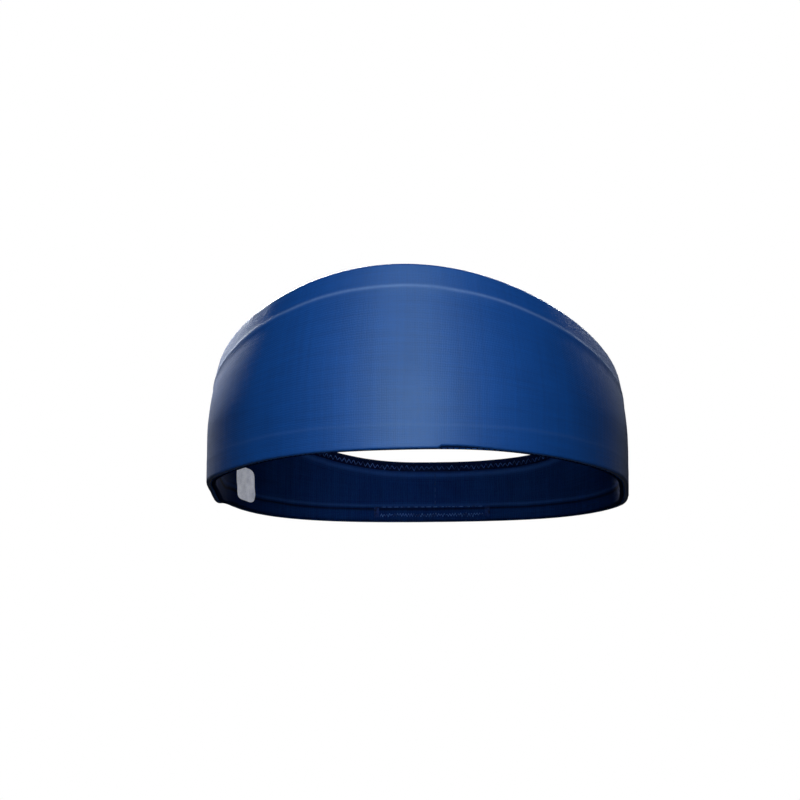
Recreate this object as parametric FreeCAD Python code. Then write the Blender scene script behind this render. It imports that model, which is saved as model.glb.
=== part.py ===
import FreeCAD, Part
import math
import os

from FreeCAD import Vector

# Sports headband: a tube of two jersey panels, outer and lining, whose edges are turned in
# and sewn together. Front is -Y, up is +Z, the bottom edge rests on Z = 0. Millimetres.

# Overall shape, as worn.
head_width = 156.0          # outside, over the ears
head_depth = 187.0          # outside, forehead to nape
front_height = 68.0
back_height = 23.5
height_power = 1.6          # how fast the height falls from the forehead
side_rise = 8.2             # extra height of the top edge behind the ears
front_roundness = 2.1       # plan exponent, 2 is an ellipse
back_roundness = 3.1
lean_start = 20.0           # height above which the wall leans inward
lean_share = 0.22           # share of the half width lost 60 mm above lean_start
lean_power = 1.6
front_lean_share = 0.7      # the forehead leans less than the temples

# Cloth and seams.
fabric = 0.8
ply_gap = 0.1
front_margin = 8.6          # turned-in seam allowance
back_margin = 6.3
margin_step = 0.7           # the two-ply middle sits this much below the four-ply margins
step_half = 1.2             # half the height over which the step happens
fold_flat = 0.4             # width of the pressed flat on each folded edge
seam_thread = 0.36

# Elastic tape and stitching.
tape_width = 3.4
tape_thickness = 0.6
tape_inset = 0.5            # from the top edge
tape_join_angle = 118.0     # where the tape's ends meet, behind the left ear
zigzag_pitch = 5.0
stitch_thread = 0.3
stitch_length = 1.9
stitch_pitch = 2.6
closing_width = 42.0        # gap-closing topstitch at the nape
closing_shift = -1.3        # of its middle from the nape seam
closing_low = 2.6
closing_high = 5.0
closing_clear = 0.1         # least height from the upper row to the step above it
tack_beyond_low = 0.8       # how far the end tacks pass the rows
tack_beyond_high = 0.2
tack_gap = 0.8              # from the rows' ends to the first bar
bartack_bars = 5
bartack_pitch = 0.45

# Reflective transfer on the lining, behind the right ear.
transfer_angle = -119.0
transfer_rise = 3.0         # its lower side above the bottom edge
transfer_width = 20.0
transfer_height = 13.0
transfer_corner = 2.0
transfer_thickness = 0.15

clearance = 0.05
ring_points = 96

half_width = head_width / 2
half_depth = head_depth / 2
fold_radius = fabric + ply_gap / 2
total = 4 * fabric + 3 * ply_gap
middle = total / 2


def top_height(angle):
    """Height of the top edge; angle 0 is the forehead, 180 degrees the nape."""
    fore = (1 + math.cos(angle)) / 2
    rise = side_bump(angle) / side_bump(math.radians(120))
    return back_height + (front_height - back_height) * fore ** height_power + side_rise * rise


def side_bump(angle):
    return abs(math.sin(angle)) ** 3 * ((1 - math.cos(angle)) / 2) ** 4


def margin(angle):
    fore = (1 + math.cos(angle)) / 2
    wanted = back_margin + (front_margin - back_margin) * fore
    return min(wanted, 0.3 * top_height(angle))


def plan(angle):
    """Point of the outline at the bottom edge."""
    across, along = math.sin(angle), math.cos(angle)
    power = front_roundness if along > 0 else back_roundness
    reach = (abs(across) ** power + abs(along) ** power) ** (-1 / power)
    return half_width * reach * across, -half_depth * reach * along


def plan_inward(angle):
    """Unit vector pointing inward, square to the outline."""
    ahead, behind = plan(angle + 0.01), plan(angle - 0.01)
    run = Vector(ahead[0] - behind[0], ahead[1] - behind[1], 0)
    return Vector(-run.y, run.x, 0).normalize()


def place(angle, height, depth):
    """Point of the wall at a height above the bottom edge and a depth inside its outer face."""
    lean = lean_share * (max(height - lean_start, 0) / 60) ** lean_power
    x, y = plan(angle)
    point = Vector(x * (1 - lean), y * (1 - front_lean_share * lean), height)
    return point + plan_inward(angle) * depth


def ring(height_rule, depth):
    """Closed curve round the band; height_rule gives the height at each angle."""
    step = 2 * math.pi / ring_points
    angles = [math.pi + index * step for index in range(ring_points)]
    points = [place(angle, height_rule(angle), depth) for angle in angles]
    curve = Part.BSplineCurve()
    curve.interpolate(Points=points, PeriodicFlag=True)
    return curve.toShape()


def above(offset):
    return lambda angle: offset


def below_top(offset):
    return lambda angle: top_height(angle) - offset


def low_step(offset):
    return lambda angle: margin(angle) + offset


def high_step(offset):
    return lambda angle: top_height(angle) - margin(angle) + offset


def between(share):
    """Height inside the two-ply middle, as a share from its lower to its upper end."""
    low, high = low_step(step_half), high_step(-step_half)
    return lambda angle: low(angle) + share * (high(angle) - low(angle))


def strip(rings):
    """Faces of the surface through a row of rings, straight between one ring and the next."""
    return [Part.makeRuledSurface(first, second) for first, second in zip(rings, rings[1:])]


def flat(first, second):
    return [Part.makeFace([Part.Wire([first]), Part.Wire([second])], "Part::FaceMakerBullseye")]


def solid_from(faces):
    shell = Part.makeShell(faces)
    shell.sewShape()
    body = Part.makeSolid(shell.Shells[0])
    if body.Volume < 0:
        body.reverse()
    return body


def wall_rings(start_depth, sink):
    """One face of the wall from fold to fold, sinking by sink between the margins."""
    near, deep = start_depth, start_depth + sink
    half = start_depth + sink / 2
    steps = [(above(fold_radius), near), (low_step(-2 * step_half), near),
             (low_step(-step_half), near), (low_step(0), half), (low_step(step_half), deep)]
    steps += [(between(share), deep) for share in (0.2, 0.4, 0.6, 0.8)]
    steps += [(high_step(-step_half), deep), (high_step(0), half), (high_step(step_half), near),
              (high_step(2 * step_half), near), (below_top(fold_radius), near)]
    return [ring(rule, depth) for rule, depth in steps]


def fold_rings(rule_from, outer_side, side):
    """Quarter turn from the wall face to the pressed flat at the folded edge."""
    reach = fold_radius - fold_flat / 2
    rings = []
    for turn in (0, 30, 60, 90):
        across = reach * math.cos(math.radians(turn))
        drop = fold_radius * (1 - math.sin(math.radians(turn)))
        depth = fold_radius - fold_flat / 2 - across
        if not outer_side:
            depth = 2 * fold_radius - depth
        rings.append(ring(rule_from(drop), side(depth)))
    return rings


def panel(side):
    """One jersey panel with both edges turned in; side maps its own depth to the wall's."""
    skin, hidden, turned, face = side(0), side(fabric), side(fabric + ply_gap), side(2 * fold_radius)
    sink = margin_step if side(1) > side(0) else -margin_step
    outer_wall = wall_rings(skin, sink)
    inner_wall = wall_rings(hidden, sink)
    faces = strip(outer_wall) + strip(inner_wall)
    for rule_from, step_rule, offset in ((above, low_step, -step_half), (below_top, high_step, step_half)):
        outer_turn = fold_rings(rule_from, True, side)
        inner_turn = fold_rings(rule_from, False, side)
        faces += strip(outer_turn) + strip(inner_turn)
        if rule_from is above:
            faces += flat(outer_turn[-1], inner_turn[-1])
        else:
            faces += strip([outer_turn[-1], inner_turn[-1]])
        rest = [rule_from(fold_radius), step_rule(2 * offset), step_rule(offset)]
        showing = [ring(rule, face) for rule in rest]
        tucked = [ring(rule, turned) for rule in rest]
        faces += strip(showing) + strip(tucked) + strip([showing[-1], tucked[-1]])
        faces += strip([tucked[0], ring(rule_from(fold_radius), hidden)])
    return solid_from(faces)


def tape():
    """Elastic tape on the inside, just under the top edge."""
    heights = [below_top(tape_inset), below_top(tape_inset + tape_width / 2),
               below_top(tape_inset + tape_width)]
    near = [ring(rule, total + clearance) for rule in heights]
    far = [ring(rule, total + clearance + tape_thickness) for rule in heights]
    faces = strip(near) + strip(far) + strip([near[0], far[0]]) + strip([near[-1], far[-1]])
    return solid_from(faces)


def thread_ring(rule_from):
    """Seam thread lying in the groove between the two folded edges."""
    centre = 0.24
    radius = seam_thread / 2
    rings = []
    for turn in range(0, 360, 60):
        rise = radius * math.sin(math.radians(turn))
        rings.append(ring(rule_from(centre - rise), middle + radius * math.cos(math.radians(turn))))
    return solid_from(strip(rings + rings[:1]))


def bar(start, end, diameter=stitch_thread):
    run = end - start
    return Part.makeCylinder(diameter / 2, run.Length, start, run)


def wall_depth(angle, height):
    """How far the wall's faces have sunk at this height."""
    low, high = margin(angle), top_height(angle) - margin(angle)
    inside = min(height - low, high - height)
    share = min(max((inside + step_half) / (2 * step_half), 0), 1)
    return margin_step * share


def angle_at(across):
    """Angle of the point of the nape that lies this far to one side."""
    low, high = math.pi / 2, math.pi
    for _ in range(50):
        angle = (low + high) / 2
        if plan(angle)[0] > abs(across):
            low = angle
        else:
            high = angle
    return angle if across >= 0 else -angle


def zigzag():
    """Zigzag stitches over the tape, all the way round."""
    zigs = int(2 * math.pi * math.sqrt((half_width ** 2 + half_depth ** 2) / 2) / zigzag_pitch)
    depth = total + clearance * 2 + tape_thickness + stitch_thread / 2
    bars = []
    for index in range(2 * zigs):
        share = [(index + end) / (2 * zigs) for end in (0.1, 0.9)]
        insets = [tape_inset + 0.3, tape_inset + tape_width - 0.3]
        if index % 2:
            insets.reverse()
        ends = [place(math.pi + 2 * math.pi * s, top_height(math.pi + 2 * math.pi * s) - inset, depth)
                for s, inset in zip(share, insets)]
        bars.append(bar(*ends))
    return Part.makeCompound(bars)


def nape_seam(side, low, high):
    """Upright row of stitches closing a panel at the nape, between two heights."""
    count = int((high - low) / stitch_pitch)
    start = (low + high - count * stitch_pitch) / 2
    bars = []
    for index in range(count):
        foot = start + index * stitch_pitch + (stitch_pitch - stitch_length) / 2
        head = foot + stitch_length
        lift = min(wall_depth(math.pi, foot), wall_depth(math.pi, head)) - clearance - stitch_thread / 2
        bars.append(bar(place(math.pi, foot, side(lift)), place(math.pi, head, side(lift))))
    return Part.makeCompound(bars)


def outer_side(depth):
    return depth


def lining_side(depth):
    return total - depth


def inside_face(across, height):
    """Centre of a thread lying on the lining, this far to one side of the nape."""
    angle = angle_at(across + closing_shift)
    return place(angle, height, total - wall_depth(angle, height) + clearance + stitch_thread / 2)


def closing_top():
    """Height of the upper closing row, kept below the step of the margin."""
    return min(closing_high, margin(math.pi) - step_half - closing_clear)


def closing_rows():
    """Two rows of topstitching that close the turning gap at the nape."""
    count = int(closing_width / stitch_pitch)
    bars = []
    for height in (closing_low, closing_top()):
        for index in range(count):
            across = (index + 0.5 - count / 2) * stitch_pitch
            ends = [inside_face(across + shift * stitch_length, height) for shift in (-0.5, 0.5)]
            bars.append(bar(*ends))
    return Part.makeCompound(bars)


def closing_tacks():
    """Dense upright tacks at both ends of the closing rows."""
    low, high = closing_low - tack_beyond_low, closing_top() + tack_beyond_high
    bars = []
    for end in (-1, 1):
        for index in range(bartack_bars):
            across = end * (closing_width / 2 + tack_gap + index * bartack_pitch)
            bars.append(bar(inside_face(across, low), inside_face(across, high)))
    return Part.makeCompound(bars)


def join_tack():
    """Dense tack where the two ends of the elastic tape meet."""
    depth = total + 3 * clearance + tape_thickness + 1.5 * stitch_thread
    bars = []
    for index in range(bartack_bars):
        shift = (index - (bartack_bars - 1) / 2) * bartack_pitch
        angle = math.radians(tape_join_angle) + shift / half_width
        top = top_height(angle) - tape_inset
        bars.append(bar(place(angle, top - 0.2, depth), place(angle, top - tape_width + 0.2, depth)))
    return Part.makeCompound(bars)


def transfer():
    """Small reflective patch heat-pressed on the lining, following its step."""
    angle = math.radians(transfer_angle)
    reach = 3 * total
    inward = plan_inward(angle)
    along = Vector(-inward.y, inward.x, 0)
    centre = place(angle, transfer_rise, total)
    corner = centre - along * (transfer_width / 2) - inward * (reach / 2)
    blank = Part.makeBox(transfer_width, transfer_height, reach)
    uprights = [edge for edge in blank.Edges if abs(edge.tangentAt(edge.FirstParameter).z) > 0.9]
    blank = blank.makeFillet(transfer_corner, uprights)
    turn = FreeCAD.Rotation(along, Vector(0, 0, 1), inward, "ZXY")
    blank.Placement = FreeCAD.Placement(corner, turn)
    near = wall_rings(total + clearance, -margin_step)
    far = wall_rings(total + clearance + transfer_thickness, -margin_step)
    layer = solid_from(strip(near) + strip(far) + strip([near[0], far[0]]) + strip([near[-1], far[-1]]))
    return layer.common(blank)


def save(name, shape):
    shape.exportStep("parts/%s.step" % name)
    print(name, "solids", len(shape.Solids), "volume", round(shape.Volume, 1), "valid", shape.isValid())


os.makedirs("parts", exist_ok=True)
save("outer_panel", panel(outer_side))
save("lining_panel", panel(lining_side))
save("top_elastic_tape", tape())
save("top_edge_seam_thread", thread_ring(below_top))
save("bottom_edge_seam_thread", thread_ring(above))
save("elastic_zigzag_stitching", zigzag())
save("outer_back_seam_thread", nape_seam(outer_side, fold_radius, back_height - fold_radius))
save("lining_back_seam_thread", nape_seam(lining_side, closing_top() + stitch_thread + clearance,
                                          back_height - tape_inset - tape_width - stitch_thread))
save("gap_closing_topstitch", closing_rows())
save("closing_bartacks", closing_tacks())
save("elastic_join_bartack", join_tack())
save("reflective_transfer", transfer())
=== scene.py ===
import math

import bpy
import numpy as np
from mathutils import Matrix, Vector


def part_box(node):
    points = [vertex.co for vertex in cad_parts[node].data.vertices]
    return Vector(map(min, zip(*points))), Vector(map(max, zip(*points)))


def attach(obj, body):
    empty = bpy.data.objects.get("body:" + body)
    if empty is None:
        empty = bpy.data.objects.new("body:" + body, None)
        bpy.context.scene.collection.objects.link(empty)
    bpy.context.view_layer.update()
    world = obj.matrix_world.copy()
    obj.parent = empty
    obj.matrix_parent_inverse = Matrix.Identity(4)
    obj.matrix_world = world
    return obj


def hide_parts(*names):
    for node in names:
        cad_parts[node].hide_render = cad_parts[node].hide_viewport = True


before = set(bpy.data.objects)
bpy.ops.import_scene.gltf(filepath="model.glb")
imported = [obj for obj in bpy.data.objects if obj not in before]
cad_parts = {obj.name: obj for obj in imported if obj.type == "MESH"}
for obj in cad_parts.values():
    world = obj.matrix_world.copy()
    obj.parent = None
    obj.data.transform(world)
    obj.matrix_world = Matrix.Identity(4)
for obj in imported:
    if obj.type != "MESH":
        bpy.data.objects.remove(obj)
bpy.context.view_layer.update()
mm = 0.001
tau = 2 * math.pi

# The band is worn: angle 0 is the forehead, half a turn the nape. Height is above the bottom edge and
# depth goes in from the outer face.
wallLow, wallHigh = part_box("outer_panel")
band = {
    "halfWidth": (wallHigh[0] - wallLow[0]) / 2,
    "halfDepth": (wallHigh[1] - wallLow[1]) / 2,
    "frontHeight": wallHigh[2],
    "backHeight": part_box("outer_back_seam_thread")[1][2] + 1.7 * mm,   # the seam ends below the edge
    "heightPower": 1.6,         # how fast the height falls from the forehead
    "sideRise": 8.2 * mm,       # extra height behind the ears
    "napeDip": 1.9 * mm,        # the top edge is a little lower to the left of the nape
    "dipAt": 147,               # degrees
    "dipWidth": 13,
    "frontRoundness": 2.1,      # plan exponent, 2 is an ellipse
    "backRoundness": 3.1,
    "leanStart": 19.6 * mm,     # above this the wall leans inward
    "leanRun": 60 * mm,
    "leanShare": 0.226,         # share of the half width lost over leanRun
    "leanPower": 1.6,
    "frontLeanShare": 0.7,      # the forehead leans less than the temples
    "frontMargin": 8.6 * mm,    # turned-in seam allowance
    "backMargin": 6.3 * mm,
    "fabric": 0.8 * mm,
    "plyGap": 0.1 * mm,
}
foldRadius = band["fabric"] + band["plyGap"] / 2
total = 4 * band["fabric"] + 3 * band["plyGap"]     # four plies at the edges


def bell(x, width):  # bump of height one: e to the minus square of x over width
    return np.exp(-(x / width) ** 2)


def centred(value, period):  # the same value, brought to within half a period of nothing
    return (value + period / 2) % period - period / 2


def smoothStep(x, low, high):  # three squares less two cubes of the share of the way, level at both ends
    share = np.clip((x - low) / (high - low), 0, 1)
    return share * share * (3 - 2 * share)


def sideBump(angle):  # cube of the sine, times a fourth power that moves its peak behind the ears
    return np.abs(np.sin(angle)) ** 3 * ((1 - np.cos(angle)) / 2) ** 4


def topHeight(angle):  # back height, plus a power of the raised cosine, plus side bumps, less a bell
    fore = ((1 + np.cos(angle)) / 2) ** band["heightPower"]
    rise = sideBump(angle) / sideBump(math.radians(120))
    dip = band["napeDip"] * bell((angle % tau) - math.radians(band["dipAt"]), math.radians(band["dipWidth"]))
    lift = (band["frontHeight"] - band["backHeight"]) * fore
    return band["backHeight"] + lift + band["sideRise"] * rise - dip


def marginHeight(angle):  # seam allowance, blending from nape to forehead by the raised cosine
    fore = (1 + np.cos(angle)) / 2
    return band["backMargin"] + (band["frontMargin"] - band["backMargin"]) * fore


def planPoint(angle):  # superellipse, rounder in front than at the nape
    across, along = np.sin(angle), np.cos(angle)
    power = np.where(along > 0, band["frontRoundness"], band["backRoundness"])
    reach = (np.abs(across) ** power + np.abs(along) ** power) ** (-1 / power)
    return band["halfWidth"] * reach * across, -band["halfDepth"] * reach * along


def planInward(angle):  # unit normal of the plan, from a small difference of neighbouring points
    aheadX, aheadY = planPoint(angle + 0.01)
    behindX, behindY = planPoint(angle - 0.01)
    runX, runY = aheadX - behindX, aheadY - behindY
    length = np.hypot(runX, runY)
    return -runY / length, runX / length


sags = (  # slow dips and rises of the bottom edge: angle and width in degrees, drop in mm
    {"at": -99, "width": 8, "drop": 2.3},
    {"at": 108, "width": 14, "drop": 1.4},
    {"at": -57, "width": 18, "drop": 0.9},
    {"at": 24, "width": 24, "drop": -0.85},
    {"at": -18, "width": 20, "drop": -0.25},
    {"at": 180, "width": 30, "drop": 0.3},
)


def edgeSag(angle, height):
    # sum of bells, each repeated a turn to either side, fading out half way up the band
    turned = np.degrees(centred(angle, tau))
    drop = 0
    for sag in sags:
        near = sum(bell(turned - sag["at"] + turn, sag["width"]) for turn in (0, 360, -360))
        drop = drop + sag["drop"] * mm * near
    return drop * (1 - smoothStep(height, 0, 0.5 * topHeight(angle)))


def wallPoint(angle, height, depth):
    # the plan outline, shrunk by a lean that grows as a power of height, then moved inward by depth
    above = np.maximum(height - band["leanStart"], 0) / band["leanRun"]
    lean = band["leanShare"] * above ** band["leanPower"]
    x, y = planPoint(angle)
    inX, inY = planInward(angle)
    return np.stack([x * (1 - lean) + inX * depth,
                     y * (1 - band["frontLeanShare"] * lean) + inY * depth,
                     height - edgeSag(angle, height)], axis=-1)


# length along the bottom edge at every tenth of a degree, so that both can be looked up
tableAngles = np.linspace(-math.pi, math.pi, 3601)
tablePlan = np.stack(planPoint(tableAngles), axis=-1)
tableRun = np.concatenate([[0], np.cumsum(np.linalg.norm(np.diff(tablePlan, axis=0), axis=1))])
bottomLength = tableRun[-1]


def runAt(angle):  # metres along the bottom edge, counted from the nape
    return np.interp(centred(np.asarray(angle), tau), tableAngles, tableRun)


def angleAtRun(run):  # the same table read the other way
    return np.interp(np.asarray(run) % bottomLength, tableRun, tableAngles)


def waves(run, seed, lengths):
    # sum of sines with whole periods round the band and drawn phases, over the root of their number
    source = np.random.default_rng(seed)
    out = 0 * run
    for length in lengths:
        periods = round(bottomLength / length)
        out = out + np.sin(tau * periods * run / bottomLength + source.uniform(0, tau))
    return out / math.sqrt(len(lengths))


relief = {
    "sink": 0.24 * mm,          # two-ply middle below the four-ply margins
    "stepRun": 3.0 * mm,
    "ridge": 0.09 * mm,         # raw edge of the allowance showing through
    "ridgeWidth": 0.7 * mm,
    "ridgeInset": 0.2 * mm,
    "outerLowShare": 0.2,       # the bottom edge's step is weaker, above all outside
    "liningLowShare": 0.9,
    "wander": 0.22 * mm,        # how far the steps stray up and down
    "wanderLengths": (60 * mm, 23 * mm, 11 * mm),
    "pucker": 0.10 * mm,        # small waves along the sewn edges
    "frontPucker": 0.25,        # their share at the forehead
    "lowPucker": 0.6,           # their share at the bottom edge
    "puckerReach": 6 * mm,
    "topLengths": (7 * mm, 5.2 * mm, 9.5 * mm),
    "lowLengths": (8 * mm, 6.1 * mm, 12 * mm),
    "drape": 0.22 * mm,         # slow waves in the cloth behind the temples
    "drapeLengths": (70 * mm, 41 * mm),
    "seamGroove": 0.3 * mm,
    "seamWidth": 0.55 * mm,
    "outerSeed": 10,
    "liningSeed": 40,
}


def clothSink(angle, height, lining):
    # smooth steps down from both margins, less a bell at each allowance's raw edge, plus sines that
    # pucker the sewn edges and slow ones, greatest at half height, that drape the cloth to the rear
    seed = relief["liningSeed"] if lining else relief["outerSeed"]
    lowShare = relief["liningLowShare"] if lining else relief["outerLowShare"]
    run = runAt(angle)
    wander = relief["wander"] * waves(run, seed, relief["wanderLengths"])
    top, margin = topHeight(angle), marginHeight(angle)
    low = height - (margin + wander * 0.6)
    high = (top - margin + wander) - height
    lowPart = smoothStep(low, 0, relief["stepRun"])
    highPart = smoothStep(high, 0, relief["stepRun"])
    upShare = smoothStep(height, 0.35 * top, 0.65 * top)
    sink = relief["sink"] * (lowPart * lowShare * (1 - upShare) + highPart * upShare
                             + (1 - lowShare) * upShare * (1 - upShare) * highPart)
    sink = sink - relief["ridge"] * bell(high + relief["ridgeInset"], relief["ridgeWidth"])
    sink = sink - relief["ridge"] * lowShare * bell(low + relief["ridgeInset"], relief["ridgeWidth"])
    rear = smoothStep(-np.cos(angle), -0.6, 0.8)
    nearTop = np.exp(-((top - height) / relief["puckerReach"]) ** 2)
    nearLow = np.exp(-(height / relief["puckerReach"]) ** 2)
    puckerShare = relief["frontPucker"] + (1 - relief["frontPucker"]) * rear
    sink = sink + relief["pucker"] * puckerShare * waves(run, seed + 1, relief["topLengths"]) * nearTop
    lowWaves = waves(run, seed + 2, relief["lowLengths"])
    sink = sink + relief["lowPucker"] * relief["pucker"] * puckerShare * lowWaves * nearLow
    slow = waves(run + 0.5 * height, seed + 3, relief["drapeLengths"]) * np.sin(math.pi * height / top)
    return sink + relief["drape"] * rear * slow


def seamGroove(angle):  # inward bell along the nape, less a lower bell where the cloth rises beside it
    off = centred(runAt(angle), bottomLength)
    beside = bell(np.abs(off) - 1.4 * mm, 0.8 * mm)
    return relief["seamGroove"] * (bell(off, relief["seamWidth"]) - 0.35 * beside)


closing = {
    "width": 42 * mm,           # topstitch that closes the turning gap at the nape
    "shift": -1.3 * mm,
    "low": 1.8 * mm,            # lower row, of small overlocked loops
    "loopRun": 0.55 * mm,
    "loopHeight": 1.2 * mm,
    "loopRise": 0.16 * mm,
    "high": 5.6 * mm,           # upper row, of straight stitches
    "pitch": 2.6 * mm,
    "length": 2.1 * mm,
    "rise": 0.12 * mm,
    "unevenness": 0.2 * mm,
    "tackLow": 1.3 * mm,        # upright bars at both ends
    "tackHigh": 5.9 * mm,
    "tackStart": 0.5 * mm,
    "tackPitch": 0.3 * mm,
    "tackBars": 7,
    "tackRise": 0.14 * mm,
    "channelHeight": 4.2 * mm,  # the cloth is drawn in between the two rows
    "channelWidth": 0.75 * mm,
    "channelDepth": 0.38 * mm,
    "channelPast": 1 * mm,
    "channelFade": 1.5 * mm,
}


def closingChannel(angle, height):
    # a bell across the two rows of topstitch, times a smooth step that ends it past their ends
    off = centred(runAt(angle), bottomLength)
    inside = closing["width"] / 2 + closing["channelPast"] - np.abs(off + closing["shift"])
    across = bell(height - closing["channelHeight"], closing["channelWidth"])
    return closing["channelDepth"] * smoothStep(inside, 0, closing["channelFade"]) * across


def gridObject(name, points, uv):
    # points is rows by columns by 3, and both close into rings; a face joins each point to its
    # neighbours in the next column and the next row
    rows, columns = points.shape[:2]
    lower = np.arange(rows * columns).reshape(rows, columns)
    upper = np.roll(lower, -1, axis=0)
    quads = np.stack([lower, np.roll(lower, -1, axis=1), np.roll(upper, -1, axis=1), upper], axis=-1)
    return meshObject(name, points.reshape(-1, 3), quads.reshape(-1, 4), gridUv(uv))


def gridUv(uv):
    # each corner takes its row's and its column's value; both lists hold one more entry than the grid
    rowsV, columnsU = uv
    lowV, highV = rowsV[:-1], rowsV[1:]
    leftU, rightU = columnsU[:-1], columnsU[1:]
    corners = np.empty((len(lowV), len(leftU), 4, 2))
    corners[..., 0, 0], corners[..., 3, 0] = leftU[None, :], leftU[None, :]
    corners[..., 1, 0], corners[..., 2, 0] = rightU[None, :], rightU[None, :]
    corners[..., 0, 1], corners[..., 1, 1] = lowV[:, None], lowV[:, None]
    corners[..., 2, 1], corners[..., 3, 1] = highV[:, None], highV[:, None]
    return corners.reshape(-1, 2)


def addPiece(name, mesh):  # an object at the origin that shows the mesh
    piece = bpy.data.objects.new(name, mesh)
    bpy.context.collection.objects.link(piece)
    return piece


def meshObject(name, points, faces, uv=None):
    # whole arrays of points and of faces with the same number of sides, poured into a smooth mesh
    mesh = bpy.data.meshes.new(name)
    faces = np.asarray(faces)
    count, sides = faces.shape
    mesh.vertices.add(len(points))
    mesh.vertices.foreach_set("co", np.asarray(points, dtype=np.float32).ravel())
    mesh.loops.add(count * sides)
    mesh.loops.foreach_set("vertex_index", faces.astype(np.int32).ravel())
    mesh.polygons.add(count)
    mesh.polygons.foreach_set("loop_start", np.arange(0, count * sides, sides, dtype=np.int32))
    mesh.polygons.foreach_set("loop_total", np.full(count, sides, dtype=np.int32))
    mesh.polygons.foreach_set("use_smooth", np.ones(count, dtype=bool))
    mesh.update(calc_edges=True)
    if uv is not None:
        layer = mesh.uv_layers.new(name="cloth")
        layer.data.foreach_set("uv", np.asarray(uv, dtype=np.float32).ravel())
    return addPiece(name, mesh)


def closedObject(name, points):
    # rings from one pole to the other, with a fan of triangles to the centre of the first and last ring
    rows, columns = points.shape[:2]
    index = np.arange(rows * columns).reshape(rows, columns)
    ahead = np.roll(index, -1, axis=1)
    quads = np.stack([index[:-1], ahead[:-1], ahead[1:], index[1:]], axis=-1).reshape(-1, 4)
    firstFan = np.stack([ahead[0], index[0], np.full(columns, rows * columns)], axis=-1)
    lastFan = np.stack([index[-1], ahead[-1], np.full(columns, rows * columns + 1)], axis=-1)
    poles = points[[0, -1]].mean(axis=1)
    mesh = bpy.data.meshes.new(name)
    mesh.from_pydata(np.concatenate([points.reshape(-1, 3), poles]), [],
                     quads.tolist() + firstFan.tolist() + lastFan.tolist())
    mesh.shade_smooth()
    return addPiece(name, mesh)


panel = {
    "columns": 560,
    "skinRows": (12, 22, 36, 22, 12),   # margin, step, middle, step, margin
    "stepReach": 1.9 * mm,      # half the height of the crowded rows at each step
    "hiddenRows": 18,
    "foldRows": 11,
    "marginRows": 6,
    "marginShort": 1.1 * mm,    # the allowance's raw edge stops this far before the step
    "hiddenEase": 0.02 * mm,
}
lip = {  # the outer fold is pulled up a little at the brow, so the lining's fold shows below it
    "from": 10.2,               # degrees
    "full": 11.0,
    "fade": 13.0,
    "to": 32.0,
    "rise": 0.85 * mm,
    "reach": 14 * mm,           # height at which the pull has died out
}


def rolledLip(angle):  # a short smooth step up, then a long one down
    turned = np.degrees(centred(angle, tau))
    grows = smoothStep(turned, lip["from"], lip["full"])
    return lip["rise"] * grows * (1 - smoothStep(turned, lip["fade"], lip["to"]))


def skinHeights(angle):
    # rows up the showing face, evenly spaced between stops and crowded together at the two steps
    top, margin, reach = topHeight(angle), marginHeight(angle), panel["stepReach"]
    stops = [foldRadius + 0 * angle, margin - reach, margin + reach, top - margin - reach,
             top - margin + reach, top - foldRadius]
    rows = [low + (high - low) * share for low, high, count in zip(stops, stops[1:], panel["skinRows"])
            for share in np.arange(count) / count]
    return rows + [stops[-1]]


def panelSection(angle, lining):
    # heights and depths round one panel's C section, as arrays of section point by angle: up the
    # showing face, over the top fold, down and back along the turned-in allowance, down the hidden
    # face, and the same at the bottom edge
    top, radius = topHeight(angle), foldRadius
    hidden = band["fabric"] - panel["hiddenEase"]
    tucked = band["fabric"] + band["plyGap"]
    groove = seamGroove(angle)
    pulled = 0 * angle if lining else rolledLip(angle)
    turnedIn = marginHeight(angle) - panel["marginShort"] - radius
    turns = np.linspace(0, math.pi, panel["foldRows"] + 2)[1:-1]
    outward = np.linspace(0, 1, panel["marginRows"])
    heights, depths = [], []

    def add(height, depth):
        heights.append(height + pulled * (1 - smoothStep(height, 0, lip["reach"])))
        depths.append(depth + 0 * angle)

    for height in skinHeights(angle):
        channel = closingChannel(angle, height) if lining else 0
        add(height, clothSink(angle, height, lining) + groove + channel)
    edge = clothSink(angle, top - radius, lining) + groove
    for turn in turns:
        fade = (1 + math.cos(turn)) / 2
        add(top - radius + radius * math.sin(turn), radius - radius * math.cos(turn) + edge * fade)
    for share in outward:
        add(top - radius - share * turnedIn, 2 * radius)
    for share in outward[::-1]:
        add(top - radius - share * turnedIn, tucked)
    for share in np.linspace(1, 0, panel["hiddenRows"]):
        height = radius + share * (top - 2 * radius)
        add(height, hidden + np.maximum(clothSink(angle, height, lining), 0))
    for share in outward:
        add(radius + share * turnedIn, tucked)
    for share in outward[::-1]:
        add(radius + share * turnedIn, 2 * radius)
    edge = clothSink(angle, radius, lining) + groove
    for turn in turns[::-1]:
        fade = (1 + math.cos(turn)) / 2
        add(radius - radius * math.sin(turn), radius - radius * math.cos(turn) + edge * fade)
    heights, depths = np.array(heights), np.array(depths)
    return heights, (total - depths if lining else depths)


def addEdgeMap(piece, edges):
    # second map: distance below the top edge and above the bottom edge, as shares of the allowance
    corner = np.empty(len(piece.data.loops), dtype=np.int32)
    piece.data.loops.foreach_get("vertex_index", corner)
    piece.data.uv_layers.new(name="edges").data.foreach_set("uv", edges[corner].astype(np.float32).ravel())


def ringLengths(points):  # length round the section up to each row, averaged over the columns
    steps = np.linalg.norm(np.diff(np.concatenate([points, points[:1]]), axis=0), axis=2).mean(axis=1)
    return np.concatenate([[0], np.cumsum(steps)])


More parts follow.
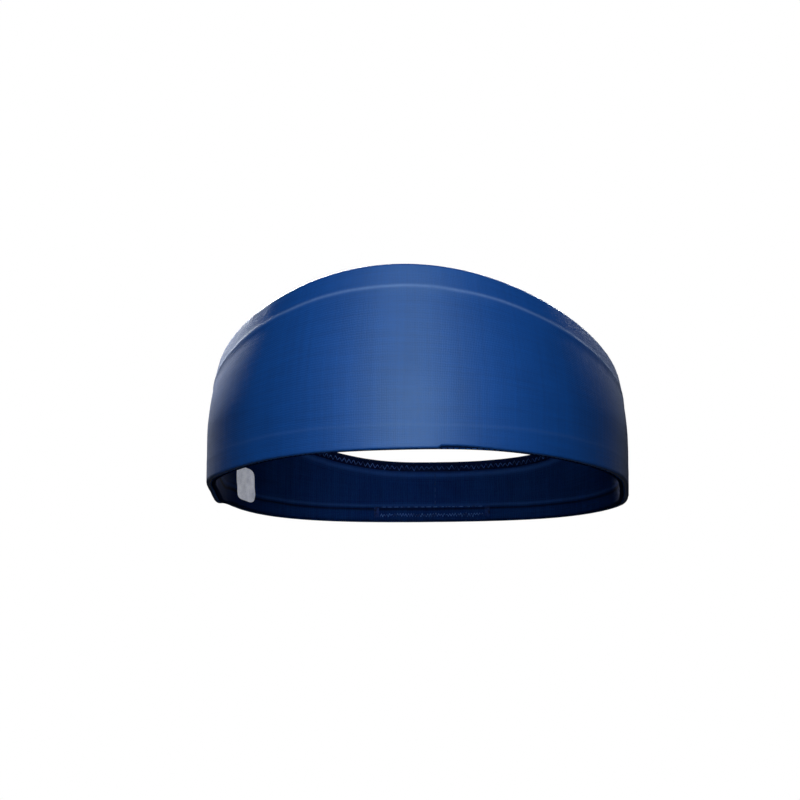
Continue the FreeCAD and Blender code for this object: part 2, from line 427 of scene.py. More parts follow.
def makePanel(name, lining):
    # the section at evenly spaced places round the band; the lining's is its mirror, so it runs backwards
    runs = np.linspace(0, bottomLength, panel["columns"] + 1)
    angle = angleAtRun(runs[:-1])
    heights, depths = panelSection(angle, lining)
    points = wallPoint(angle[None, :], heights, depths)
    if lining:
        points, heights = points[::-1], heights[::-1]
    edges = np.stack([topHeight(angle) - heights, heights], axis=-1) / marginHeight(angle)[None, :, None]
    piece = gridObject(name, points, (ringLengths(points), runs))
    addEdgeMap(piece, edges.reshape(-1, 2))
    return piece


outerPanel = makePanel("outerPanelJersey", False)
liningPanel = makePanel("liningPanelJersey", True)
print("panels made", len(outerPanel.data.polygons), len(liningPanel.data.polygons))

for piece, node, slotName in ((outerPanel, "outer_panel", "outer_jersey"),
                              (liningPanel, "lining_panel", "lining_jersey")):
    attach(piece, "root")
    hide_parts(node)


tape = {
    "inset": 0.5 * mm,
    "width": 3.4 * mm,
    "thickness": 0.6 * mm,
    "offLining": 0.04 * mm,
    "columns": 560,
    "sides": 24,
    "stitchRun": 1.0 * mm,      # along the edge for each leg of the zigzag
    "stitchStart": 0.3 * mm,
    "stitchHigh": 1.2 * mm,     # rows of the zigzag's ends, below the tape's upper side
    "stitchLow": 2.9 * mm,
    "stitchRise": 0.13 * mm,
    "unevenness": 0.16 * mm,
    "joinAngle": 118,           # the ends meet behind the left ear, under a dense tack
    "joinPitch": 0.3 * mm,
    "joinBars": 8,
    "joinInside": 0.3 * mm,
    "joinRise": 0.3 * mm,
}
thread = {
    "radius": 0.14 * mm,
    "seamRadius": 0.17 * mm,
    "narrowing": 0.45,          # where a stitch dives into the cloth
    "sides": 6,
    "points": 7,
}


def liningFace(angle, height):  # depth of the lining's face towards the head
    return total - clothSink(angle, height, True) - seamGroove(angle) - closingChannel(angle, height)


def makeTape():
    # a flat ribbon with rounded edges: a superellipse section, carried round just under the top edge
    runs = np.linspace(0, bottomLength, tape["columns"] + 1)
    angle = angleAtRun(runs[:-1])[None, :]
    turns = np.linspace(0, tau, tape["sides"], endpoint=False)[:, None]
    half, thick = tape["width"] / 2, tape["thickness"] / 2
    up = np.sign(np.cos(turns)) * np.abs(np.cos(turns)) ** 0.5
    across = np.sign(np.sin(turns)) * np.abs(np.sin(turns)) ** 0.6
    height = topHeight(angle) - tape["inset"] - half + up * half
    depth = liningFace(angle, height) + tape["offLining"] + thick + across * thick
    points = wallPoint(angle, height, depth)
    return gridObject("elasticTape", points, (ringLengths(points), runs))


def unit(vectors):  # each vector over its own length
    return vectors / np.maximum(np.linalg.norm(vectors, axis=-1, keepdims=True), 1e-12)


def threadObject(name, paths, radius):
    # paths is stitches by points by 3: each becomes a six-sided tube that narrows where it dives in
    count, points = paths.shape[:2]
    sides = thread["sides"]
    tangent = unit(np.gradient(paths, axis=1))
    centre = np.array([0, 0, 0.03])
    outward = unit(paths - centre + 1e-9)
    side = unit(np.cross(tangent, outward))
    lift = np.cross(side, tangent)
    size = radius * (1 - thread["narrowing"] * np.abs(np.linspace(-1, 1, points)) ** 4)
    turn = np.linspace(0, -tau, sides, endpoint=False)
    around = turn[None, None, :, None]
    spokes = np.cos(around) * side[:, :, None] + np.sin(around) * lift[:, :, None]
    rings = paths[:, :, None] + size[None, :, None, None] * spokes
    index = np.arange(count * points * sides).reshape(count, points, sides)
    ahead = np.roll(index, -1, axis=2)
    walls = np.stack([index[:, :-1], ahead[:, :-1], ahead[:, 1:], index[:, 1:]], axis=-1)
    first, last = index[:, 0], index[:, -1]
    caps = [first[:, [3, 2, 1, 0]], first[:, [5, 4, 3, 0]], last[:, [0, 1, 2, 3]], last[:, [0, 3, 4, 5]]]
    faces = np.concatenate([walls.reshape(-1, 4)] + caps)
    run = np.cumsum(np.linalg.norm(np.diff(paths, axis=1, prepend=paths[:, :1]), axis=2), axis=1)
    along = np.repeat(run[:, :, None], sides, axis=2).reshape(-1)
    turned = np.broadcast_to(-turn / tau, (count, points, sides)).reshape(-1)
    uv = np.stack([along[faces], turned[faces]], axis=-1).reshape(-1, 2)
    return meshObject(name, rings.reshape(-1, 3), faces, uv)


def stitchPaths(starts, ends, face, rise, dive=0.1 * mm):
    # stitches between two rows of (angle, height): straight, with an arch of one less a fourth power,
    # less an eighth power that takes the ends into the cloth
    share = np.linspace(0, 1, thread["points"])[None, :]
    angle = starts[0][:, None] * (1 - share) + ends[0][:, None] * share
    height = starts[1][:, None] * (1 - share) + ends[1][:, None] * share
    arch = rise * (1 - (2 * share - 1) ** 4) - dive * (2 * share - 1) ** 8
    return wallPoint(angle, height, face(angle, height, arch))


def onLining(angle, height, arch):  # depth of a thread on the side towards the head
    return liningFace(angle, height) + arch


def onOuter(angle, height, arch):  # depth of a thread on the outer face
    return clothSink(angle, height, False) + seamGroove(angle) - arch


def onTape(angle, height, arch):  # depth of a thread on the tape
    return liningFace(angle, height) + tape["offLining"] + tape["thickness"] + arch


def zigzagStitches():
    # legs of equal run, whose ends go up and down between two rows and stray by a normal spread
    count = 2 * int(bottomLength / tape["stitchRun"] / 2)
    runs = np.arange(count + 1) / count * bottomLength
    angles = np.unwrap(angleAtRun(runs[:-1] + tape["stitchStart"]))
    angles = np.append(angles, angles[0] + tau)
    inset = tape["inset"] + np.where(np.arange(count + 1) % 2, tape["stitchHigh"], tape["stitchLow"])
    uneven = np.random.default_rng(77).normal(0, tape["unevenness"], count + 1)
    heights = topHeight(angles) - inset + uneven * (np.arange(count + 1) % count > 0)
    ends = (angles[:-1], heights[:-1]), (angles[1:], heights[1:])
    paths = stitchPaths(*ends, onTape, tape["stitchRise"])
    return threadObject("elasticZigzagThread", paths, thread["radius"])


edgeSeam = {
    "pitch": 2.2 * mm,
    "length": 1.9 * mm,
    "start": 0.2 * mm,
    "drop": 0.27 * mm,          # below the folds, in the groove between them
    "rise": 0.06 * mm,
}
napeSeam = {
    "pitch": 2.6 * mm,
    "length": 1.9 * mm,
    "rise": 0.1 * mm,
    "liningLow": 5.5 * mm,      # above the closing's upper row
    "liningInset": 4.2 * mm,    # below the tape
}


def edgeStitches(name, heightRule):
    # evenly spaced stitches in the groove, each an arch of one less a fourth power
    count = int(bottomLength / edgeSeam["pitch"])
    runs = np.arange(count) * bottomLength / count
    first = angleAtRun(runs + edgeSeam["start"])
    last = first + (edgeSeam["length"] / bottomLength) * tau * 0.98
    share = np.linspace(0, 1, thread["points"])[None, :]
    angle = first[:, None] + share * (last - first)[:, None]
    height = heightRule(angle, edgeSeam["rise"] * (1 - (2 * share - 1) ** 4))
    return threadObject(name, wallPoint(angle, height, total / 2 + 0 * height), thread["seamRadius"])


def napeStitches(name, face, low, high):  # an upright row at half a turn, centred between two heights
    pitch, length = napeSeam["pitch"], napeSeam["length"]
    count = int((high - low) / pitch)
    feet = (low + high - count * pitch) / 2 + pitch * np.arange(count) + (pitch - length) / 2
    angles = np.full(count, math.pi)
    paths = stitchPaths((angles, feet), (angles, feet + length), face, napeSeam["rise"])
    return threadObject(name, paths, thread["radius"])


def napeAngle(across):  # angle of the nape point that lies this far along the bottom edge
    return angleAtRun(bottomLength - np.asarray(across, dtype=float)) % tau


def closingStitches():
    # an upper row of straight stitches, and a lower row of small overlocked loops: a zigzag whose ends
    # stray by a normal spread
    count = int(closing["width"] / closing["pitch"])
    middle = (np.arange(count) + 0.5 - count / 2) * closing["pitch"] + closing["shift"]
    height = np.full(count, closing["high"])
    first, last = napeAngle(middle - closing["length"] / 2), napeAngle(middle + closing["length"] / 2)
    straight = stitchPaths((first, height), (last, height), onLining, closing["rise"])
    count = int(closing["width"] / closing["loopRun"])
    angles = napeAngle((np.arange(count + 1) - count / 2) * closing["loopRun"] + closing["shift"])
    uneven = np.random.default_rng(78).normal(0, closing["unevenness"], count + 1)
    heights = closing["low"] + closing["loopHeight"] * (np.arange(count + 1) % 2) + uneven
    ends = (angles[:-1], heights[:-1]), (angles[1:], heights[1:])
    loops = stitchPaths(*ends, onLining, closing["loopRise"])
    return threadObject("closingTopstitchThread", np.concatenate([straight, loops]), thread["radius"])


def tackBars(name, angles, low, high, face, rise):  # upright stitches side by side
    ends = (angles, low + 0 * angles), (angles, high + 0 * angles)
    return threadObject(name, stitchPaths(*ends, face, rise), thread["radius"])


def closingTacks():  # bars at an even pitch past both ends of the closing rows
    shifts = closing["tackPitch"] * np.arange(closing["tackBars"])
    offsets = closing["width"] / 2 + closing["tackStart"] + shifts
    across = np.concatenate([-offsets[::-1], offsets]) + closing["shift"]
    return tackBars("closingTackThread", napeAngle(across), closing["tackLow"], closing["tackHigh"],
                    onLining, closing["tackRise"])


def joinTack():  # bars at an even pitch over the place where the tape's ends meet
    shifts = tape["joinPitch"] * (np.arange(tape["joinBars"]) - (tape["joinBars"] - 1) / 2)
    angles = angleAtRun(runAt(math.radians(tape["joinAngle"])) + shifts)
    top, inside = topHeight(angles) - tape["inset"], tape["joinInside"]
    return tackBars("elasticJoinTackThread", angles, top - tape["width"] + inside, top - inside,
                    onTape, tape["joinRise"])


transfer = {
    "angle": -119,
    "rise": 3.0 * mm,
    "width": 20 * mm,
    "height": 13 * mm,
    "thickness": 0.12 * mm,
    "offLining": 0.02 * mm,
    "cornerPower": 5,           # 2 would be an ellipse
}


def reflectivePatch():
    # a rounded rectangle drawn as a high-power superellipse in the lining's own run and height
    rings = np.concatenate([np.linspace(0.02, 1, 16), [1.004, 1.0], np.linspace(0.98, 0.02, 5)])
    lifts = np.concatenate([np.full(15, 1.0), [0.9, 0.5, 0.0], np.zeros(5)]) * transfer["thickness"]
    turns = np.linspace(0, tau, 96, endpoint=False)
    power = transfer["cornerPower"]
    reach = (np.abs(np.cos(turns)) ** power + np.abs(np.sin(turns)) ** power) ** (-1 / power)
    across = rings[:, None] * reach * np.cos(turns) * transfer["width"] / 2
    height = transfer["rise"] + (1 + rings[:, None] * reach * np.sin(turns)) * transfer["height"] / 2
    angle = angleAtRun(runAt(math.radians(transfer["angle"])) + across)
    depth = liningFace(angle, height) + transfer["offLining"] + lifts[:, None]
    return closedObject("reflectiveTransfer", wallPoint(angle, height, depth))


def topGroove(angle, rise):  # height of the top edge's seam thread
    return topHeight(angle) - edgeSeam["drop"] + rise


def bottomGroove(angle, rise):  # height of the bottom edge's seam thread
    return edgeSeam["drop"] - rise + 0 * angle


napeTop = band["backHeight"]
trimmings = (  # piece, the node it replaces, its slot
    (makeTape(), "top_elastic_tape", "elastic_tape"),
    (zigzagStitches(), "elastic_zigzag_stitching", "sewing_thread"),
    (edgeStitches("topEdgeSeamThread", topGroove), "top_edge_seam_thread", "sewing_thread"),
    (edgeStitches("bottomEdgeSeamThread", bottomGroove), "bottom_edge_seam_thread", "sewing_thread"),
    (napeStitches("outerBackSeamThread", onOuter, foldRadius, napeTop - foldRadius),
     "outer_back_seam_thread", "sewing_thread"),
    (napeStitches("liningBackSeamThread", onLining, napeSeam["liningLow"], napeTop - napeSeam["liningInset"]),
     "lining_back_seam_thread", "sewing_thread"),
    (closingStitches(), "gap_closing_topstitch", "sewing_thread"),
    (closingTacks(), "closing_bartacks", "sewing_thread"),
    (joinTack(), "elastic_join_bartack", "sewing_thread"),
    (reflectivePatch(), "reflective_transfer", "reflective_film"),
)
for piece, node, slotName in trimmings:
    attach(piece, "root")
    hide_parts(node)
print("trimmings made", sum(len(piece.data.polygons) for piece, node, slotName in trimmings))


def toLinear(hexColour):  # hex sRGB to linear: a power of 2.4, or a twelfth for the darkest
    parts = [int(hexColour[i:i + 2], 16) / 255 for i in (1, 3, 5)]
    return [p / 12.92 if p <= 0.04045 else ((p + 0.055) / 1.055) ** 2.4 for p in parts] + [1.0]


def addNode(tree, kind, inputs=None, **settings):
    # inputs maps a socket to a plain value, to a node (its first output) or to a (node, output) pair
    node = tree.nodes.new(kind)
    for key, value in settings.items():
        setattr(node, key, value)
    for key, value in (inputs or {}).items():
        source = value if isinstance(value, tuple) else (value, 0)
        if isinstance(source[0], bpy.types.Node):
            tree.links.new(source[0].outputs[source[1]], node.inputs[key])
        else:
            node.inputs[key].default_value = value
    return node


def newMaterial(name):  # an empty node tree under a name
    material = bpy.data.materials.new(name)
    material.use_nodes = True
    material.node_tree.nodes.clear()
    return material, material.node_tree


jersey = {
    "wale": 0.62 * mm,          # knit columns, drawn coarser than the real 0.5 mm, which is too fine to show
    "course": 0.5 * mm,         # knit rows, drawn coarser than the real 0.4 mm
    "loopHeight": 0.05 * mm,
    "wander": 0.07,             # how far the edge bands stray, as a share of the allowance
    "roughnessSpread": 0.05,
}


def jerseyMaterial(name, look):
    # fine polyester jersey: matt, with jittered rows of tiny loops, faint ribs and streaks, a soft bloom
    # at grazing angles, and bands of painted highlight and painted shade along the edges
    material, tree = newMaterial(name)
    place = addNode(tree, "ShaderNodeUVMap", uv_map="cloth")
    split = addNode(tree, "ShaderNodeSeparateXYZ", {0: place})
    inMetres = (addNode(tree, "ShaderNodeTexCoord"), "Object")
    # noise scales are repeats to the metre: patches of 22 mm, fibres of 0.4 mm, uneven loops of 1.4 mm
    cloud = addNode(tree, "ShaderNodeTexNoise", {"Vector": inMetres, "Scale": 45.0, "Detail": 3.0})
    grain = addNode(tree, "ShaderNodeTexNoise", {"Vector": inMetres, "Scale": 2400.0, "Detail": 2.0})
    jitter = addNode(tree, "ShaderNodeTexNoise", {"Vector": inMetres, "Scale": 700.0, "Detail": 2.0})

    # loops: a cosine along the edge plus a sine up the cloth, both pushed about by the jitter
    walesPerMetre = 1 / look["coarse"] / jersey["wale"]
    coursesPerMetre = 1 / look["coarse"] / jersey["course"]
    shift = addNode(tree, "ShaderNodeMath", {0: jitter, 1: 1.1}, operation="MULTIPLY")
    column = addNode(tree, "ShaderNodeMath", {0: split, 1: walesPerMetre, 2: shift},
                     operation="MULTIPLY_ADD")
    row = addNode(tree, "ShaderNodeMath", {0: (split, 1), 1: coursesPerMetre, 2: shift},
                  operation="MULTIPLY_ADD")
    columnTurn = addNode(tree, "ShaderNodeMath", {0: column, 1: tau}, operation="MULTIPLY")
    rowTurn = addNode(tree, "ShaderNodeMath", {0: row, 1: tau}, operation="MULTIPLY")
    columnWave = addNode(tree, "ShaderNodeMath", {0: columnTurn}, operation="COSINE")
    rowWave = addNode(tree, "ShaderNodeMath", {0: rowTurn}, operation="SINE")
    loops = addNode(tree, "ShaderNodeMath", {0: columnWave, 1: rowWave}, operation="ADD")

    # fine streaks along the cloth and ribs up it, each stretched 25 times or more
    streakPlace = addNode(tree, "ShaderNodeMapping", {"Vector": place, "Scale": (45, 1300, 1)})
    streak = addNode(tree, "ShaderNodeTexNoise", {"Vector": streakPlace, "Scale": 1.0, "Detail": 2.0})
    ribPlace = addNode(tree, "ShaderNodeMapping", {"Vector": place, "Scale": (700, 28, 1)})
    rib = addNode(tree, "ShaderNodeTexNoise", {"Vector": ribPlace, "Scale": 1.0, "Detail": 2.0})
    lines = addNode(tree, "ShaderNodeMath", {0: streak, 1: rib}, operation="ADD")
    specks = addNode(tree, "ShaderNodeMath", {0: cloud, 1: grain}, operation="ADD")
    uneven = addNode(tree, "ShaderNodeMath", {0: lines, 1: specks}, operation="ADD")
    shade = addNode(tree, "ShaderNodeMapRange", {0: uneven, "From Min": 1.35, "From Max": 2.65})
    factor = addNode(tree, "ShaderNodeMath", {0: loops, 1: look["loopContrast"] / 2, 2: shade},
                     operation="MULTIPLY_ADD", use_clamp=True)
    darkest, lightest = toLinear(look["dark"]), toLinear(look["light"])
    tint = addNode(tree, "ShaderNodeMix", {0: factor, 6: darkest, 7: lightest}, data_type="RGBA")

    # bands of painted highlight and painted shade: a bell of the distance from an edge, strayed by slow noise
    # and broken up by the jitter
    edges = addNode(tree, "ShaderNodeUVMap", uv_map="edges")
    edgeSplit = addNode(tree, "ShaderNodeSeparateXYZ", {0: edges})
    slow = addNode(tree, "ShaderNodeTexNoise", {"Vector": inMetres, "Scale": 60.0, "Detail": 1.0})
    stray = addNode(tree, "ShaderNodeMath", {0: slow, 1: jersey["wander"], 2: -0.5 * jersey["wander"]},
                    operation="MULTIPLY_ADD")
    broken = addNode(tree, "ShaderNodeMath", {0: jitter, 1: 0.5, 2: 0.7}, operation="MULTIPLY_ADD")
    for paintedBand in look["paintedLightBands"]:
        perWidth = 1 / paintedBand["width"]
        away = addNode(tree, "ShaderNodeMath", {0: (edgeSplit, paintedBand["edge"]), 1: stray}, operation="ADD")
        off = addNode(tree, "ShaderNodeMath", {0: away, 1: perWidth, 2: -paintedBand["at"] * perWidth},
                      operation="MULTIPLY_ADD")
        square = addNode(tree, "ShaderNodeMath", {0: off, 1: off}, operation="MULTIPLY")
        fall = addNode(tree, "ShaderNodeMath", {0: math.exp(-1), 1: square}, operation="POWER")
        patchy = addNode(tree, "ShaderNodeMath", {0: fall, 1: broken}, operation="MULTIPLY")
        strength = addNode(tree, "ShaderNodeMath", {0: patchy, 1: paintedBand["strength"]}, operation="MULTIPLY",
                           use_clamp=True)
        paintedBandColour = toLinear(paintedBand["colour"])
        tint = addNode(tree, "ShaderNodeMix", {0: strength, 6: (tint, 2), 7: paintedBandColour}, data_type="RGBA")

    knit = addNode(tree, "ShaderNodeMath", {0: loops, 1: 0.45, 2: grain}, operation="MULTIPLY_ADD")
    height = addNode(tree, "ShaderNodeMath", {0: lines, 1: 1.6, 2: knit}, operation="MULTIPLY_ADD")
    bump = addNode(tree, "ShaderNodeBump",
                   {"Height": height, "Strength": 0.4, "Distance": jersey["loopHeight"]})
    smoothest, spread = look["roughness"] - jersey["roughnessSpread"], 2 * jersey["roughnessSpread"]
    rough = addNode(tree, "ShaderNodeMapRange", {0: grain, "From Min": 0.3, "From Max": 0.7,
                                                 "To Min": smoothest, "To Max": smoothest + spread})
    shader = addNode(tree, "ShaderNodeBsdfPrincipled", {
        "Base Color": (tint, 2), "Roughness": rough, "Normal": bump, "IOR": 1.5,
        "Specular IOR Level": look["specular"], "Sheen Weight": look["sheen"],
        "Sheen Roughness": look["sheenRoughness"], "Sheen Tint": toLinear("#d4d7e0"),
        "Specular Tint": toLinear("#ccf2ff")})
    addNode(tree, "ShaderNodeOutputMaterial", {"Surface": shader})
    return material


# painted light bands: which edge (0 top, 1 bottom), where and how wide in shares of the seam allowance, how
# strong, and the painted colour
outerLook = {
    "light": "#0352ae", "dark": "#01418f", "roughness": 0.56, "sheen": 0.1, "sheenRoughness": 0.3,
    "specular": 0.95, "loopContrast": 0.04, "coarse": 1.0,
    "paintedLightBands": (
        # painted highlight along the ridge below the top edge
        {"edge": 0, "at": 0.985, "width": 0.07, "strength": 0.55, "colour": "#6a90d0"},
        # faint painted highlight along the ridge above the bottom edge
        {"edge": 1, "at": 0.985, "width": 0.07, "strength": 0.07, "colour": "#6a90d0"},
        # painted shade along the bottom fold
        {"edge": 1, "at": 0.0, "width": 0.03, "strength": 0.5, "colour": "#04163c"},
    ),
}
liningLook = {
    # the lining's base colours: navy, made darker still as painted shade for the inside of the band
    "light": "#0f3268", "dark": "#061b49", "roughness": 0.9, "sheen": 0.0, "sheenRoughness": 0.4,
    "specular": 0.05, "loopContrast": 0.34,
    "coarse": 1.5,              # in the dark inside, loops of the real size wouldn't show at all
    "paintedLightBands": (
        # painted light over the top allowance's raw edge
        {"edge": 0, "at": 0.82, "width": 0.17, "strength": 0.5, "colour": "#2c5090"},
        # painted shade in the groove at the bottom allowance's step
        {"edge": 1, "at": 0.77, "width": 0.085, "strength": 0.8, "colour": "#020818"},
        # painted highlight on the ridge just above that step
        {"edge": 1, "at": 0.98, "width": 0.09, "strength": 0.4, "colour": "#2c5090"},
        # painted shade along the bottom fold
        {"edge": 1, "at": 0.0, "width": 0.12, "strength": 0.4, "colour": "#020a20"},
        # painted shade along the top fold
        {"edge": 0, "at": 0.0, "width": 0.09, "strength": 0.6, "colour": "#01040f"},
    ),
}
outerJersey = jerseyMaterial("royalBlueJersey", outerLook)
liningJersey = jerseyMaterial("navyJerseyLiningPaintedShade", liningLook)
outerPanel.data.materials.append(outerJersey)
liningPanel.data.materials.append(liningJersey)


plyTwist = 0.7 * mm             # length of one turn of the thread's plies
tapeRib = 0.62 * mm             # woven ribs along the tape, real ones are about 0.5 mm
tapePick = 0.75 * mm            # crossing picks, real ones are too fine to show


def threadMaterial(name, light, dark):
    # two-ply spun polyester thread: slanting plies along and round it, nearly dull, with painted light and
    # shade: the plies' crests lighter than their grooves, and lighter and darker random patches of 1.4 mm
    # for where it stands proud of the cloth or sinks into it
    material, tree = newMaterial(name)
    place = addNode(tree, "ShaderNodeUVMap", uv_map="cloth")
    split = addNode(tree, "ShaderNodeSeparateXYZ", {0: place})
    slant = addNode(tree, "ShaderNodeMath", {0: split, 1: 1 / plyTwist, 2: (split, 1)},
                    operation="MULTIPLY_ADD")
    turn = addNode(tree, "ShaderNodeMath", {0: slant, 1: 2 * tau}, operation="MULTIPLY")
    ply = addNode(tree, "ShaderNodeMath", {0: turn}, operation="SINE")
    shade = addNode(tree, "ShaderNodeMapRange", {0: ply, "From Min": -1.0, "From Max": 1.0})
    inMetres = addNode(tree, "ShaderNodeTexCoord")
    patch = addNode(tree, "ShaderNodeTexNoise",
                    {"Vector": (inMetres, "Object"), "Scale": 700.0, "Detail": 3.0})
    uneven = addNode(tree, "ShaderNodeMapRange", {0: patch, "From Min": 0.42, "From Max": 0.58})
    lit = addNode(tree, "ShaderNodeMath", {0: shade, 1: 0.35, 2: uneven}, operation="MULTIPLY_ADD",
                  use_clamp=True)
    tint = addNode(tree, "ShaderNodeMix", {0: lit, 6: toLinear(dark), 7: toLinear(light)}, data_type="RGBA")
    bump = addNode(tree, "ShaderNodeBump", {"Height": shade, "Strength": 0.6, "Distance": 0.04 * mm})
    shader = addNode(tree, "ShaderNodeBsdfPrincipled", {
        "Base Color": (tint, 2), "Normal": bump, "Roughness": 0.6, "IOR": 1.5, "Specular IOR Level": 0.1})
    addNode(tree, "ShaderNodeOutputMaterial", {"Surface": shader})
    return material


def wovenTapeMaterial(name, light, dark):
    # narrow woven elastic: ribs along it over covered rubber, picks across it, dull
    material, tree = newMaterial(name)
    place = addNode(tree, "ShaderNodeUVMap", uv_map="cloth")
    split = addNode(tree, "ShaderNodeSeparateXYZ", {0: place})
    rib = addNode(tree, "ShaderNodeMath", {0: (split, 1), 1: tau / tapeRib}, operation="MULTIPLY")
    ribWave = addNode(tree, "ShaderNodeMath", {0: rib}, operation="SINE")
    pick = addNode(tree, "ShaderNodeMath", {0: split, 1: tau / tapePick}, operation="MULTIPLY")
    pickWave = addNode(tree, "ShaderNodeMath", {0: pick}, operation="SINE")
    crossed = addNode(tree, "ShaderNodeMath", {0: ribWave, 1: pickWave}, operation="MULTIPLY")
    inMetres = addNode(tree, "ShaderNodeTexCoord")
    grain = addNode(tree, "ShaderNodeTexNoise",
                    {"Vector": (inMetres, "Object"), "Scale": 1500.0, "Detail": 2.0})
    uneven = addNode(tree, "ShaderNodeMath", {0: crossed, 1: 0.5, 2: grain}, operation="MULTIPLY_ADD")
    tint = addNode(tree, "ShaderNodeMix", {0: uneven, 6: toLinear(dark), 7: toLinear(light)},
                   data_type="RGBA")
    bump = addNode(tree, "ShaderNodeBump", {"Height": uneven, "Strength": 0.8, "Distance": 0.08 * mm})
    shader = addNode(tree, "ShaderNodeBsdfPrincipled", {
        "Base Color": (tint, 2), "Normal": bump, "Roughness": 0.9, "Specular IOR Level": 0.05})
    addNode(tree, "ShaderNodeOutputMaterial", {"Surface": shader})
    return material


def filmMaterial(name, light, dark):
    # heat-pressed glass-bead film: pale silver, fine sparkle, cloudy where the cloth's loops show through;
    # real beads are too fine to show, so the sparkle is drawn at 0.4 mm, and a little emission stands for
    # the light that beads send back
    material, tree = newMaterial(name)
    inMetres = addNode(tree, "ShaderNodeTexCoord")
    bead = addNode(tree, "ShaderNodeTexVoronoi", {"Vector": (inMetres, "Object"), "Scale": 2600.0})
    cloud = addNode(tree, "ShaderNodeTexNoise",
                    {"Vector": (inMetres, "Object"), "Scale": 260.0, "Detail": 3.0})
    uneven = addNode(tree, "ShaderNodeMath", {0: bead, 1: 0.4, 2: cloud}, operation="MULTIPLY_ADD")
    shade = addNode(tree, "ShaderNodeMapRange", {0: uneven, "From Min": 0.3, "From Max": 0.9})
    tint = addNode(tree, "ShaderNodeMix", {0: shade, 6: toLinear(dark), 7: toLinear(light)}, data_type="RGBA")
    rough = addNode(tree, "ShaderNodeMapRange", {0: cloud, "To Min": 0.35, "To Max": 0.55})
    bump = addNode(tree, "ShaderNodeBump", {"Height": uneven, "Strength": 0.4, "Distance": 0.04 * mm})
    shader = addNode(tree, "ShaderNodeBsdfPrincipled", {
        "Base Color": (tint, 2), "Roughness": rough, "Normal": bump, "IOR": 1.5,
        "Emission Color": (tint, 2), "Emission Strength": 0.4})
    addNode(tree, "ShaderNodeOutputMaterial", {"Surface": shader})
    return material


navyThread = threadMaterial("navyPolyesterThread", "#3f62a2", "#07173c")
# a darker copy of the navy thread: painted shade for the closing's tacks, which lie in shadow; the lining's
# nape seam uses it as well
shadedNavyThread = threadMaterial("navyPolyesterThreadPaintedShade", "#14306c", "#030c26")
blueThread = threadMaterial("royalBluePolyesterThread", "#2a5cab", "#123f86")
tapeWeave = wovenTapeMaterial("navyWovenElastic", "#051840", "#010a24")
silverFilm = filmMaterial("silverGlassBeadFilm", "#d5d8e0", "#9da1ae")
finishes = {
    "top_elastic_tape": tapeWeave,
    "elastic_zigzag_stitching": navyThread,
    "top_edge_seam_thread": blueThread,
    "bottom_edge_seam_thread": blueThread,
    "outer_back_seam_thread": blueThread,
    "lining_back_seam_thread": shadedNavyThread,
    "gap_closing_topstitch": navyThread,
    "closing_bartacks": shadedNavyThread,
    "elastic_join_bartack": navyThread,
    "reflective_transfer": silverFilm,
}
for piece, node, slotName in trimmings:
    piece.data.materials.append(finishes[node])
print("materials made", len(bpy.data.materials))

studio = {
    "floorZ": -0.32,
    "floorReach": 6.0,
    "floorColour": "#e9e9e7",
    "cameraAzimuth": 4.61,      # nearly in front, looking up a little through a long lens
    "cameraElevation": -9.63,
    "cameraDistance": 1.295,
    "cameraLens": 156.2,
    "aim": (-0.00665, -0.00108, 0.0332),
}


def direction(azimuth, elevation):  # unit vector towards a compass angle from the front and a height angle
    a, e = math.radians(azimuth), math.radians(elevation)
    return Vector((math.sin(a) * math.cos(e), -math.cos(a) * math.cos(e), math.sin(e)))


corners = np.array([(-1, -1, 0), (1, -1, 0), (1, 1, 0), (-1, 1, 0)]) * studio["floorReach"]
floor = meshObject("studioFloor", corners + (0, 0, studio["floorZ"]), [(0, 1, 2, 3)])
floorMaterial, floorTree = newMaterial("matWhiteStudioPaint")       # pale and even from every side
floorShader = addNode(floorTree, "ShaderNodeEmission", {"Color": toLinear(studio["floorColour"])})
addNode(floorTree, "ShaderNodeOutputMaterial", {"Surface": floorShader})
floor.data.materials.append(floorMaterial)
floor.visible_diffuse = False       # the evenly lit floor is seen, but throws no light up into the band
floor.visible_glossy = False

camera = bpy.data.objects.new("camera", bpy.data.cameras.new("camera"))
bpy.context.collection.objects.link(camera)
back = direction(studio["cameraAzimuth"], studio["cameraElevation"])
camera.location = Vector(studio["aim"]) + back * studio["cameraDistance"]
camera.rotation_mode = "QUATERNION"
camera.rotation_quaternion = (-back).to_track_quat("-Z", "Y")
camera.data.lens = studio["cameraLens"]
camera.data.sensor_width = 36
camera.data.clip_end = 50
bpy.context.scene.camera = camera

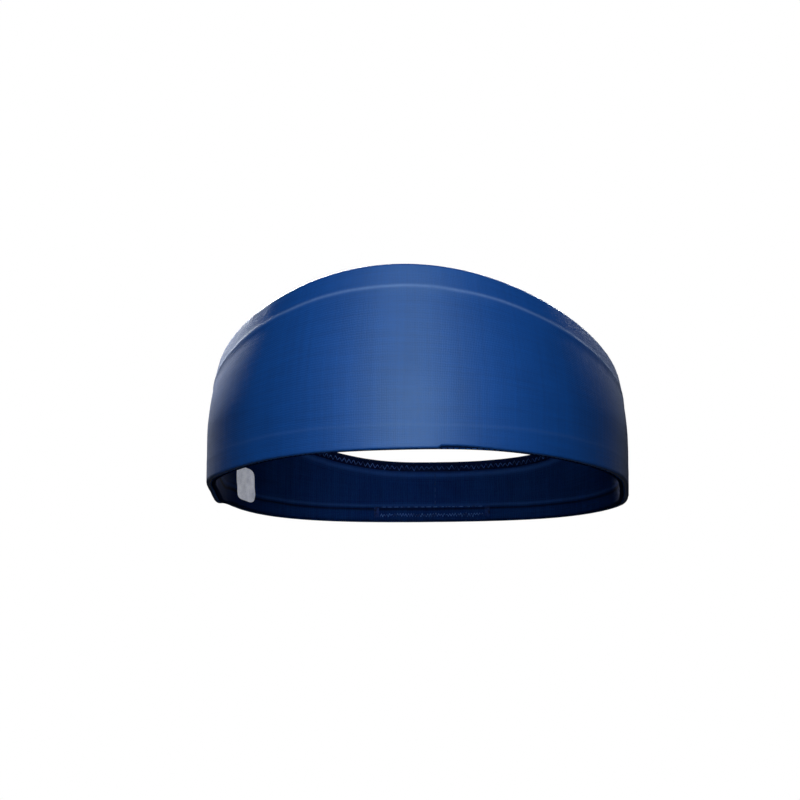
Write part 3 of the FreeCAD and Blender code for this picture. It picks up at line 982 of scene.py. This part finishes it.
lights = {  # soft panels: angles in degrees, distance from the aim, size and aim in metres, power in watts
    "key": {"azimuth": 3, "elevation": 3, "distance": 0.6, "size": (0.08, 0.38), "power": 0.44,
            "spread": 90, "aim": (0, 0, 0.03)},
    "brow": {"azimuth": 0, "elevation": 46, "distance": 0.9, "size": (0.2, 0.2), "power": 0.2,
             "spread": 60, "aim": (0, -0.08, 0.05)},
    "leftRim": {"azimuth": -158, "elevation": 27, "distance": 0.45, "size": (0.42, 0.05), "power": 0.52,
                "spread": 28, "aim": (-0.075, -0.01, 0.108)},
    "rightRim": {"azimuth": 164, "elevation": 30, "distance": 0.45, "size": (0.42, 0.05), "power": 0.15,
                 "spread": 28, "aim": (0.075, -0.01, 0.112)},
    "back": {"azimuth": 180, "elevation": 38, "distance": 0.8, "size": (0.3, 0.3), "power": 0.45,
             "spread": 100, "aim": (0, 0.05, 0.02)},
    "nape": {"azimuth": 0, "elevation": -18, "distance": 0.7, "size": (0.03, 0.03), "power": 0.0025,
             "spread": 9.5, "aim": (-0.015, 0.09, 0.012)},
}
for name, light in lights.items():
    data = bpy.data.lights.new(name, "AREA")
    data.shape = "RECTANGLE"
    data.size, data.size_y = light["size"]
    data.energy = light["power"]
    data.spread = math.radians(light["spread"])
    lamp = bpy.data.objects.new(name, data)
    lamp.visible_camera = False
    away = direction(light["azimuth"], light["elevation"])
    lamp.location = Vector(light["aim"]) + away * light["distance"]
    lamp.rotation_mode = "QUATERNION"
    lamp.rotation_quaternion = away.to_track_quat("Z", "Y")
    bpy.context.collection.objects.link(lamp)

world = bpy.data.worlds.new("studio")
bpy.context.scene.world = world
world.use_nodes = True
worldTree = world.node_tree
worldTree.nodes.clear()
# white behind the object, nearly no light from it, so that the soft panels do the shading
rays = addNode(worldTree, "ShaderNodeLightPath")
glow = addNode(worldTree, "ShaderNodeMapRange", {0: (rays, "Is Camera Ray"), "To Min": 0.012, "To Max": 1.0})
backdrop = addNode(worldTree, "ShaderNodeBackground", {"Color": [1, 1, 1, 1], "Strength": glow})
addNode(worldTree, "ShaderNodeOutputWorld", {"Surface": backdrop})
bpy.context.scene.view_settings.view_transform = "Standard"
bpy.context.scene.view_settings.look = "None"
print("stage made")
